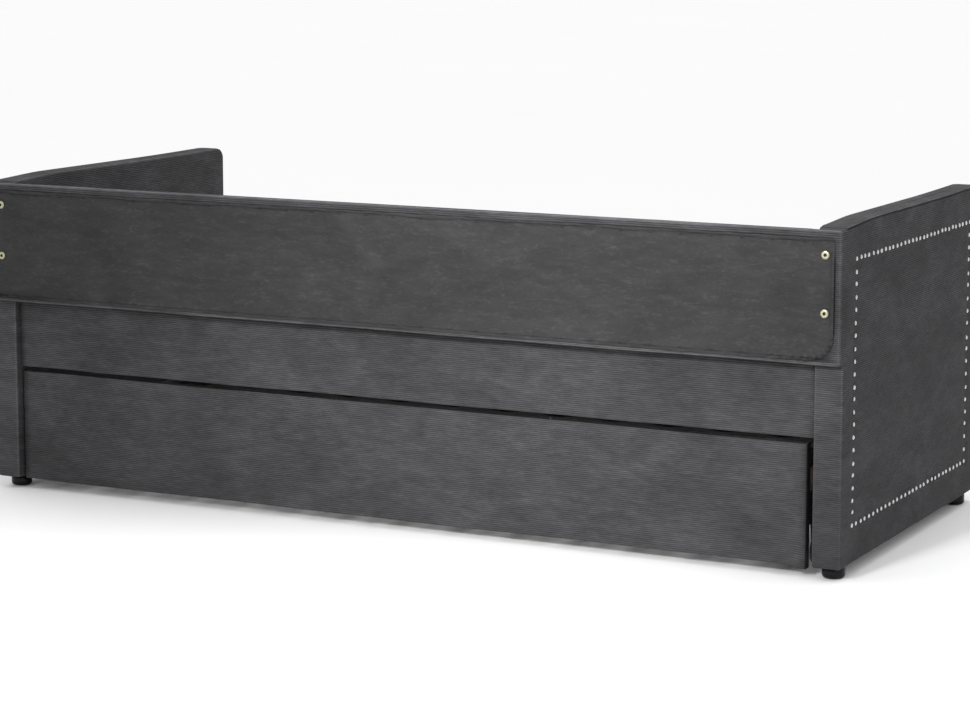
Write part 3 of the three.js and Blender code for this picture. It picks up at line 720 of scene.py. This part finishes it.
def wrap_board(node, along, outward, seed, ends_closed, deform=None):
    """The cover of a board whose length runs along an axis and whose face looks outward (+1 or -1)."""
    low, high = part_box(node)
    across = 1 - along
    face = high[across] if outward > 0 else low[across]
    depth = high[across] - low[across]
    profile, heights, on_face = wrap_profile(depth, low.z, high.z, BOARD_EDGE, HEM)
    end_skin = SKIN if ends_closed else 0.0
    start, stop = low[along] + end_skin, high[along] - end_skin
    stations = np.linspace(start, stop, max(24, round((stop - start) / (18 * MM))))
    loops = np.zeros((len(stations), len(profile), 3))
    loops[..., along] = stations[:, None]
    loops[..., across] = face - outward * profile[:, 0]
    loops[..., 2] = profile[:, 1]
    facing = normals(loops)
    outside = facing[..., across] * outward
    if outside[:, len(profile) // 2 - 3].mean() < 0:
        facing = -facing
    push = SOFTNESS * (wander(loops, seed, 0.2) - 1) * 0.6 - RIB_HEIGHT * (1 - heights[None, :])
    loops = loops + facing * (push * on_face[None, :])[..., None]
    middle_z, half_z, half_d = (low.z + high.z) / 2, (high.z - low.z) / 2, depth / 2
    near_edge = smooth(np.abs(loops[..., 2] - middle_z), half_z * 0.6, half_z)
    loops[..., 2] += 0.8 * MM * wander(loops, seed + 1, 0.4) * on_face[None, :] * near_edge
    crest = np.repeat(heights[None, :], len(loops), axis=0)
    # painted shade on the top of each rear-facing board behind its outer edge, in the gap above it
    if along == 0 and outward > 0:
        behind = smooth(face - loops[..., across], MM, 4 * MM)
        behind = behind * smooth(loops[..., 2], high.z - 6 * MM, high.z - 3 * MM)
        crest = crest * (1 - behind) - 0.45 * behind
    # painted shadow on the rear rail's top, under the overhanging back panel
    if node == "rear_rail_cover":
        under = smooth(loops[..., 2], high.z - 7 * MM, high.z - 4 * MM)
        crest = crest * (1 - under) - 0.5 * under
    patches = [loft(loops, crest)]
    if ends_closed:
        for end, way in ((low[along], 1), (high[along], -1)):
            plate = []
            for at, inset in ((end_skin * 1.4, 0.6 * MM), (1.2 * MM, 0.2 * MM), (0.5 * MM, 0.5 * MM),
                              (0, 1.4 * MM)):
                flat = ring(half_d - inset, half_z - inset, BOARD_EDGE, (60, 2, 60, 2), 3)
                loop = np.zeros((len(flat), 3))
                loop[:, along] = end + way * at
                loop[:, across] = face - outward * (half_d - flat[:, 0])
                loop[:, 2] = middle_z + flat[:, 1]
                plate.append(loop)
            # painted shade: the closed ends take the groove's dark value
            patches.append(loft(plate, np.zeros((len(plate), len(plate[0])))))
    if deform is not None:
        for patch in patches:
            patch["vertices"] = deform(patch["vertices"])
    return patches


def hanging_corner(points):
    """The loose fold at one lower corner of the trundle's rear panel: it hangs below the edge."""
    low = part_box("trundle_rear_cover")[0]
    x, z = points[:, 0], points[:, 2]
    there = 1 - smooth(x, low.x + 22 * MM, low.x + 30 * MM)
    drop = 6.5 * MM * there * (1 - smooth(z, low.z, low.z + 70 * MM))
    pinch = 1.6 * MM * peak(x - low.x - 28 * MM, 3 * MM) * (1 - smooth(z, low.z, low.z + 60 * MM))
    return points - np.column_stack([np.zeros(len(points)), pinch, drop])


def make_wrapped_boards(material):
    """The bed's two rails, the trundle's two panels and its two end rails."""
    for seed, (node, along, outward, closed, body) in enumerate((
        ("rear_rail_cover", 0, 1, False, "bed"),
        ("front_rail_cover", 0, -1, False, "bed"),
        ("trundle_rear_cover", 0, 1, True, "trundle"),
        ("trundle_front_cover", 0, -1, True, "trundle"),
        ("trundle_left_end_cover", 1, -1, False, "trundle"),
        ("trundle_right_end_cover", 1, 1, False, "trundle"),
    )):
        deform = hanging_corner if node == "trundle_rear_cover" else None
        patches = wrap_board(node, along, outward, 31 + 3 * seed, closed, deform)
        name = node.replace("_cover", "_upholstery")
        piece(name, patches, material, body, [node])


# --- dust cover


def make_dust_cover(material, staple_material):
    """The non-woven cloth stapled over the back panel's rear, its edges turned under."""
    low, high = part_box("back_dust_cover")
    half, bottom, top = high.x, low.z, high.z
    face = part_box("back_cover")[1].y
    right = half - np.concatenate([np.arange(0, 110 * MM, 2.5 * MM), [110 * MM]])
    columns = np.concatenate([-right, np.linspace(-right[-1], right[-1], 150)[1:-1], right[::-1]]) / half
    tall = top - bottom
    rows = np.concatenate([np.arange(0, 60 * MM, 2.5 * MM), np.arange(60 * MM, tall - 20 * MM, 5 * MM),
                           np.linspace(tall - 20 * MM, tall, 9)]) + bottom
    u, z = np.meshgrid(columns, rows)
    rise = np.clip(DUST_CORNER - (z - bottom), 0, DUST_CORNER)
    fall = np.clip(DUST_TOP_CORNER - (top - z), 0, DUST_TOP_CORNER)
    width = half - (DUST_CORNER - np.sqrt(DUST_CORNER**2 - rise**2))
    width = width - (DUST_TOP_CORNER - np.sqrt(DUST_TOP_CORNER**2 - fall**2)) - DUST_SETBACK * (u < 0)
    x = u * width
    edge_x = width - np.abs(x)
    edge_z = np.minimum(z - bottom, top - z)
    points = np.stack([x, np.zeros_like(x), z], axis=-1)
    edge = np.minimum(edge_x, edge_z)
    loose = smooth(edge, 0.004, 0.05)
    waves = 0.7 * MM * wander(points, 51, 0.13) + 0.5 * MM * wander(points, 52, 0.05)
    lift = 0.9 * MM + loose * (0.8 * MM + waves)
    lift = lift + 0.9 * MM * peak(edge - 5 * MM, 2.5 * MM)
    lift = lift - 0.6 * MM * peak(edge - 10 * MM, 1.6 * MM)
    standing = smooth(-x, half - 14 * MM, half - MM) * smooth(z, bottom + 0.03, bottom + 0.07)
    lift = lift + 5.0 * MM * standing * smooth(top - z, 0.02, 0.05)
    lift = lift + 1.2 * MM * (1 - smooth(top - z, 0.0, 8 * MM)) * (1 + wander(points, 53, 0.12))
    corner_x, corner_z = np.abs(x) - (half - DUST_CORNER), z - (bottom + DUST_CORNER)
    angle = np.arctan2(-corner_z, corner_x)
    radius = np.hypot(corner_x, corner_z) / DUST_CORNER
    in_corner = (corner_x > 0) * (corner_z < 0)
    at_corner = smooth(radius, 0.72, 0.97) * in_corner
    pucker = np.sin(angle * 29 + 2.2 * np.sin(angle * 7 + 1)) * (0.7 + 0.5 * np.sin(angle * 11 + 2))
    lift = lift + 4.2 * MM * np.maximum(at_corner * pucker, -0.3)
    along_bottom = (1 - smooth(z - bottom, 0.0, 0.014)) * smooth(np.abs(x), half - 0.20, half - 0.07)
    bunch = np.sin(np.abs(x) * 2 * math.pi / 0.021 + 2 * np.sin(x * 60))
    lift = lift + 2.2 * MM * along_bottom * bunch
    ragged = 2.2 * MM * np.sin(angle * 29) * at_corner * smooth(radius, 0.8, 1)
    x = x - np.sign(x) * ragged
    z = z + np.abs(ragged) * 0.7 + 0.7 * MM * np.sin(x * 2 * math.pi / 0.07) * (1 - smooth(edge_z, 0, 0.02))
    grid = np.stack([x, face + np.maximum(lift, 0.5 * MM), z], axis=-1)

    count = len(columns)
    a = (np.arange(len(rows) - 1)[:, None] * count + np.arange(count - 1)[None, :]).reshape(-1)
    faces = np.stack([a, a + count, a + count + 1, a + 1], axis=1).tolist()
    stitched = (np.sin(grid[..., 2] * 2 * math.pi / (11 * MM)) > -0.3) | (grid[..., 2] > bottom + 0.11)
    hem = peak(edge_x - 8.5 * MM, 1.1 * MM) * stitched * (top - z > 0.03)
    hem = hem + 0.55 * peak(edge_x - 4 * MM, MM) * (top - z > 0.03)
    folds = 0.9 * at_corner * smooth(-pucker, 0.1, 0.8) + 0.6 * peak(z - bottom - 7 * MM, 1.2 * MM)
    folds = folds + 0.6 * along_bottom * smooth(-bunch, 0.2, 0.9)
    crease = peak(top - z - 6 * MM - 2 * MM * wander(points, 54, 0.2), 1.3 * MM)
    shade = np.clip(1 - 0.8 * hem - folds - 0.7 * crease, 0, 1)
    patch = {"vertices": grid.reshape(-1, 3), "faces": faces, "crest": shade.reshape(-1)}
    made = piece("dust_cover", [patch], material, "bed", ["back_dust_cover"])
    solid = made.modifiers.new("thickness", "SOLIDIFY")
    solid.thickness = SHEET
    solid.offset = -1

    staples = []
    spots = [(x_at, z_at, 0) for x_at in np.linspace(-half + 0.07, half - 0.07, 30)
             for z_at in (bottom + STAPLE_INSET, top - STAPLE_INSET)]
    spots += [(side * (half - STAPLE_INSET), z_at, 1) for side in (-1, 1)
              for z_at in np.linspace(bottom + 0.07, top - 0.03, 6)]
    for x_at, z_at, upright in spots:
        size = np.array([0.5, 0.4, 4.0] if upright else [4.0, 0.4, 0.5]) * MM
        place = np.array([x_at, face + 1.9 * MM, z_at])
        staples.append(bar(place - size, place + size, 0.3 * MM, 2 if upright else 0, 1))
    piece("dust_cover_staples", staples, staple_material, "bed")


# --- nails, bolts and feet


def make_nailheads(side, sign, material):
    """The round nailheads on an arm's outer face."""
    low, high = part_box(f"{side}_arm_cover")
    face = high.x if sign > 0 else low.x
    dome = [(0, -0.6 * MM), (NAIL_RADIUS * 0.93, -0.6 * MM), (NAIL_RADIUS, -0.1 * MM)]
    dome += [(NAIL_RADIUS * math.cos(a), NAIL_HEIGHT * math.sin(a))
             for a in np.radians([8, 22, 38, 55, 72, 86])]
    # painted shade: the crest values darken each dome towards its rim
    head = turned(dome + [(0, NAIL_HEIGHT)], 16, [0.1, 0.1, 0.1, 0.3, 0.55, 0.85, 1, 1, 1, 1])
    draw = np.random.default_rng(17)
    heads = []
    for y, z in nail_places(side):
        tilt = draw.normal(0, 0.05, 2)
        depth = NAIL_DIP + 0.4 * MM + draw.uniform(-0.3, 0.3) * MM
        heads.append(moved(head, axis_matrix((face - sign * depth, y, z), (sign, tilt[0], tilt[1]))))
    piece(f"{side}_arm_nailheads", heads, material, "bed")


def hex_bolt(radius, height, socket, depth):
    """A low round bolt head about Z, standing on zero, with a hexagon socket."""
    sides = 48
    angles = np.linspace(0, 2 * math.pi, sides, endpoint=False)
    round_form = circle(sides)
    flat = math.cos(math.pi / 6) / np.cos((angles % (math.pi / 3)) - math.pi / 6)
    hexagon = round_form * flat[:, None]
    outside = [(AXIS_HOLE, 0), (radius * 0.98, 0), (radius, 0.3 * MM), (radius, height * 0.45),
               (radius * 0.965, height * 0.72), (radius * 0.86, height * 0.93), (radius * 0.74, height),
               (radius * 0.5, height)]
    walls = [(socket * 1.12, height - 0.05 * MM), (socket, height - 0.35 * MM), (socket, height - depth)]
    bottom = [(socket * 0.75, height - depth), (AXIS_HOLE, height - depth - 0.8 * MM)]
    loops = [level(form * size, at)
             for form, rows in ((round_form, outside), (hexagon, walls), (round_form, bottom))
             for size, at in rows]
    shade = [1, 0.4, 0.5, 0.7, 0.9, 0.55, 0.9, 1, 0.7, 0.1, 0, 0, 0]
    return loft(loops, np.repeat(shade, sides))


def make_bolts(pale, bright):
    """The back panel's four bolts and the brackets' eight."""
    for side, _ in SIDES:
        for level in LEVELS:
            node = f"back_bolt_{side}_{level}"
            low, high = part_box(node)
            middle, radius, height = (low + high) / 2, (high.x - low.x) / 2, 3.5 * MM
            place = (middle.x, high.y - height, middle.z)
            head = hex_bolt(0.95 * radius, height, 3.5 * MM, 2.9 * MM)
            length = place[1] - low.y
            shank = turned([(0, 0), (3.4 * MM, 0), (4 * MM, MM), (4 * MM, length), (0, length)], 20)
            patches = [moved(head, axis_matrix(place, (0, 1, 0))),
                       moved(shank, axis_matrix((middle.x, low.y, middle.z), (0, 1, 0)))]
            sharpen(piece(node.replace("bolt", "socket_bolt"), patches, pale, "bed", [node]))
    for end, side, _, sign in CORNERS:
        for level in LEVELS:
            node = f"rail_bolt_{end}_{side}_{level}"
            low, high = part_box(node)
            middle, radius, height = (low + high) / 2, (high.y - low.y) / 2, 5 * MM
            inner, tip = (low.x, high.x) if sign > 0 else (high.x, low.x)
            seat = inner + sign * height
            head = moved(hex_bolt(radius, height, 3 * MM, 2.4 * MM),
                         axis_matrix((seat, middle.y, middle.z), (-sign, 0, 0)))
            length = abs(tip - seat)
            shank = turned([(0, 0), (3 * MM, 0), (3 * MM, length - MM), (2.4 * MM, length),
                            (0, length)], 20)
            shank = moved(shank, axis_matrix((seat, middle.y, middle.z), (sign, 0, 0)))
            sharpen(piece(node.replace("bolt", "socket_bolt"), [head, shank], bright, "bed",
                          [node]))


def make_feet(material):
    """Turned, glossy feet: a bowl with a round shoulder, on a stud."""
    for end, side, *_ in CORNERS:
        node = f"foot_{end}_{side}"
        low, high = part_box(node)
        middle, radius = (low + high) / 2, (high.x - low.x) / 2
        profile = [(0, 0.6 * MM), (FOOT_SOLE * 0.55, 0.6 * MM), (FOOT_SOLE * 0.7, 0)]
        profile += arc((radius - FOOT_ROUNDING, FOOT_ROUNDING), FOOT_ROUNDING, -90, 0, 8)
        profile += [(radius, FOOT_TOP - 5.2 * MM), (radius - 0.6 * MM, FOOT_TOP - 4.6 * MM),
                    (radius, FOOT_TOP - 4.0 * MM), (radius, FOOT_TOP - 0.8 * MM),
                    (radius - 0.8 * MM, FOOT_TOP), (FOOT_STUD, FOOT_TOP), (FOOT_STUD, high.z), (0, high.z)]
        foot = moved(turned(profile, 56), Matrix.Translation((middle.x, middle.y, low.z)))
        sharpen(piece(f"bowl_{node}", [foot], material, "bed", [node]), 50)


# --- slats, brackets and casters


def make_slats(node, body, material, tape, staple, thickness):
    """A roll of slats: planed boards with round edges, two tapes over them, and a staple at each crossing."""
    low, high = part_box(node)
    tape_top = high.z
    top = tape_top - 1.2 * MM
    reach = (high.x - low.x) / 2 - SLAT_WIDTH / 2
    middle = (low.x + high.x) / 2
    centres = middle + np.linspace(-reach, reach, SLAT_COUNT)
    draw = np.random.default_rng(61 if body == "bed" else 62)
    boards = []
    for x in centres:
        warp = draw.uniform(-0.4, 0.2) * MM
        boards.append(bar((x - SLAT_WIDTH / 2, low.y, top - thickness + max(warp, 0)),
                          (x + SLAT_WIDTH / 2, high.y, top + min(warp, 0)), 2.5 * MM, 1, 3))
    name = node.replace("_roll", "s")
    piece(f"{name}_boards", boards, material, body, [node])
    tapes, staples = [], []
    for y in (-TAPE_OFFSET + (low.y + high.y) / 2, TAPE_OFFSET + (low.y + high.y) / 2):
        stations = np.arange(centres[0] - SLAT_WIDTH / 3, centres[-1] + SLAT_WIDTH / 3, 8 * MM)
        loops = []
        for x in stations:
            nearest = np.abs(centres - x).min()
            droop = TAPE_DROOP * smooth(nearest, SLAT_WIDTH / 2, SLAT_WIDTH / 2 + 30 * MM)
            flat = ring(TAPE_HALF_WIDTH, 0.6 * MM, 0.5 * MM, (0, 6, 0, 6), 1)
            loops.append(np.column_stack([np.full(len(flat), x), y + flat[:, 0],
                                          top + 0.7 * MM - droop + flat[:, 1]]))
        tapes.append(loft(loops))
        for x in centres:
            for slip in (-8 * MM, 8 * MM):
                place = np.array([x + slip * 0.3, y + slip, tape_top + 0.1 * MM])
                size = np.array([0.5 * MM, 4 * MM, 0.35 * MM])
                staples.append(bar(place - size, place + size, 0.3 * MM, 1, 1))
    piece(f"{name}_tapes", tapes, tape, body)
    piece(f"{name}_staples", staples, staple, body)


def make_bracket_screws(material):
    """Wood screws that hold the brackets on the rails."""
    head = turned([(0, 0), (3.6 * MM, 0), (3.9 * MM, 0.4 * MM), (3.2 * MM, 1.6 * MM), (1.8 * MM, 2.2 * MM),
                   (1.2 * MM, 1.7 * MM), (0, 1.2 * MM)], 24)
    for end, side, sy, sx in CORNERS:
        low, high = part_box(f"rail_bracket_{end}_{side}")
        face = high.y - 3 * MM if sy > 0 else low.y + 3 * MM
        corner = high.x if sx > 0 else low.x
        heads = []
        for along, up in ((22, 18), (44, 18), (22, 62), (44, 62)):
            place = (corner - sx * along * MM, face, low.z + up * MM)
            heads.append(moved(head, axis_matrix(place, (0, -sy, 0))))
        piece(f"bracket_screws_{end}_{side}", heads, material, "bed")


def make_wheels(material):
    """Caster wheels: a round tread with a fine parting line, a dished web with ribs, and a hub."""
    for end, side, *_ in CORNERS:
        node = f"caster_wheel_{end}_{side}"
        low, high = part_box(node)
        middle, radius, half = (low + high) / 2, (high.z - low.z) / 2, (high.x - low.x) / 2
        hub, rim = WHEEL_HUB + 0.4 * MM, WHEEL_RIM - MM
        loops = [(WHEEL_BORE, -half), (WHEEL_HUB, -half), (hub, -WHEEL_WEB), (rim, -WHEEL_WEB),
                 (WHEEL_RIM, -half)]
        loops += arc((radius - WHEEL_SHOULDER, -half + WHEEL_SHOULDER), WHEEL_SHOULDER, -90, 0, 5)
        loops += [(radius, -0.6 * MM), (radius - 0.4 * MM, 0), (radius, 0.6 * MM)]
        loops += arc((radius - WHEEL_SHOULDER, half - WHEEL_SHOULDER), WHEEL_SHOULDER, 0, 90, 5)
        loops += [(WHEEL_RIM, half), (rim, WHEEL_WEB), (hub, WHEEL_WEB), (WHEEL_HUB, half),
                  (WHEEL_BORE, half), (WHEEL_BORE, -half)]
        rings = [level(circle(64) * r, h) for r, h in loops]
        place = axis_matrix((middle.x, middle.y, middle.z), (1, 0, 0))
        patches = [moved(loft(rings, caps=False), place)]
        for spoke in range(SPOKES):
            turn = Matrix.Rotation(2 * math.pi * spoke / SPOKES, 4, "Z")
            for face in (-1, 1):
                rib = bar((WHEEL_HUB - 0.4 * MM, -MM, face * 6 * MM - 1.6 * MM),
                          (WHEEL_RIM - 0.4 * MM, MM, face * 6 * MM + 1.6 * MM), 0.5 * MM, 0, 2)
                patches.append(moved(rib, place @ turn))
        sharpen(piece(node.replace("wheel", "tyre"), patches, material, f"wheel_{end}_{side}",
                      [node]))


def dress_cad_nodes(looks):
    """Gives each CAD node that stays in view the material of its record slot."""
    slots = {row["node"]: row["material_slot"] for row in frame["record"]["subparts"]}
    for name, node in frame["nodes"].items():
        node.data.materials.clear()
        node.data.materials.append(looks[slots[name]])
        if name.startswith(("caster_fork", "rail_bracket")):
            bevel = node.modifiers.new("edges", "BEVEL")
            bevel.width = 0.4 * MM
            bevel.segments = 2
            bevel.limit_method = "ANGLE"


# --- stage


def area_light(name, place, target, size, power, spread):
    data = bpy.data.lights.new(name, "AREA")
    data.shape = "RECTANGLE"
    data.size, data.size_y = size
    data.energy = power
    data.spread = math.radians(spread)
    light = shown(name, data)
    light.location = place
    light.rotation_mode = "QUATERNION"
    light.rotation_quaternion = (Vector(target) - Vector(place)).to_track_quat("-Z", "Y")


def make_stage():
    """A wide pale floor, white surroundings and soft boxes."""
    mesh = bpy.data.meshes.new("floor")
    corners = [(x * FLOOR_REACH, y * FLOOR_REACH, 0) for x, y in ((-1, -1), (1, -1), (1, 1), (-1, 1))]
    mesh.from_pydata(corners, [], [(0, 1, 2, 3)])
    look = Look("floor", PALE, 0.9, Specular_IOR_Level=0.1)
    look.color(look.ramp(look.noise(0.4, 2.0), [(0.3, tuple(0.99 * c for c in PALE)), (0.7, PALE)]))
    mesh.materials.append(look.material)
    shown("floor", mesh)
    world = bpy.data.worlds.new("world")
    world.use_nodes = True
    Look.set(world.node_tree.nodes["Background"], Color=(1, 1, 1, 1), Strength=1.0)
    bpy.context.scene.world = world
    area_light("key", *KEY_LIGHT)
    area_light("fill", *FILL_LIGHT)
    bpy.context.scene.view_settings.view_transform = "Standard"


# --- the whole


def main():
    make_camera()
    looks = {
        "upholstery": corduroy(),
        "dust_cover": non_woven(),
        "timber": wood("timber", (0.024, 0.018, 0.013), (0.011, 0.008, 0.006), 22),
        "slat_pine": wood("slat_pine", (0.045, 0.032, 0.022), (0.022, 0.015, 0.010), 16),
        "pale_zinc": metal("pale_zinc", (0.56, 0.54, 0.40), 0.34, (0.33, 0.31, 0.20), recessed=True),
        "dark_steel": coated("dark_steel", (0.035, 0.036, 0.038), 0.42, 900, 0.06 * MM),
        "bright_steel": metal("bright_steel", (0.82, 0.82, 0.83), 0.24, (0.62, 0.62, 0.63)),
        "foot_gloss": coated("foot_gloss", (0.004, 0.004, 0.0045), 0.22, 60, 0.05 * MM, Coat_Weight=0.06,
                             Coat_Roughness=0.08, Specular_IOR_Level=0.14),
        "caster_wheel": coated("caster_wheel", (0.028, 0.028, 0.030), 0.5, 700, 0.08 * MM),
    }
    nail = metal("nail_silver", (0.66, 0.66, 0.67), 0.16, (0.45, 0.45, 0.46), 500, recessed=True)
    staple = coated("blued_steel", (0.014, 0.014, 0.015), 0.7, 900, 0.05 * MM, Specular_IOR_Level=0.15)
    tape = webbing()
    dress_cad_nodes(looks)
    for side, sign in SIDES:
        arm = make_arm(side, sign, looks["upholstery"])
        make_nailheads(side, sign, nail)
    make_back(looks["upholstery"])
    make_wrapped_boards(looks["upholstery"])
    make_dust_cover(looks["dust_cover"], staple)
    make_bolts(looks["pale_zinc"], looks["bright_steel"])
    make_feet(looks["foot_gloss"])
    make_slats("bed_slat_roll", "bed", looks["slat_pine"], tape, staple, BED_SLAT)
    make_slats("trundle_slat_roll", "trundle", looks["slat_pine"], tape, staple, TRUNDLE_SLAT)
    make_bracket_screws(looks["bright_steel"])
    make_wheels(looks["caster_wheel"])
    make_stage()


main()
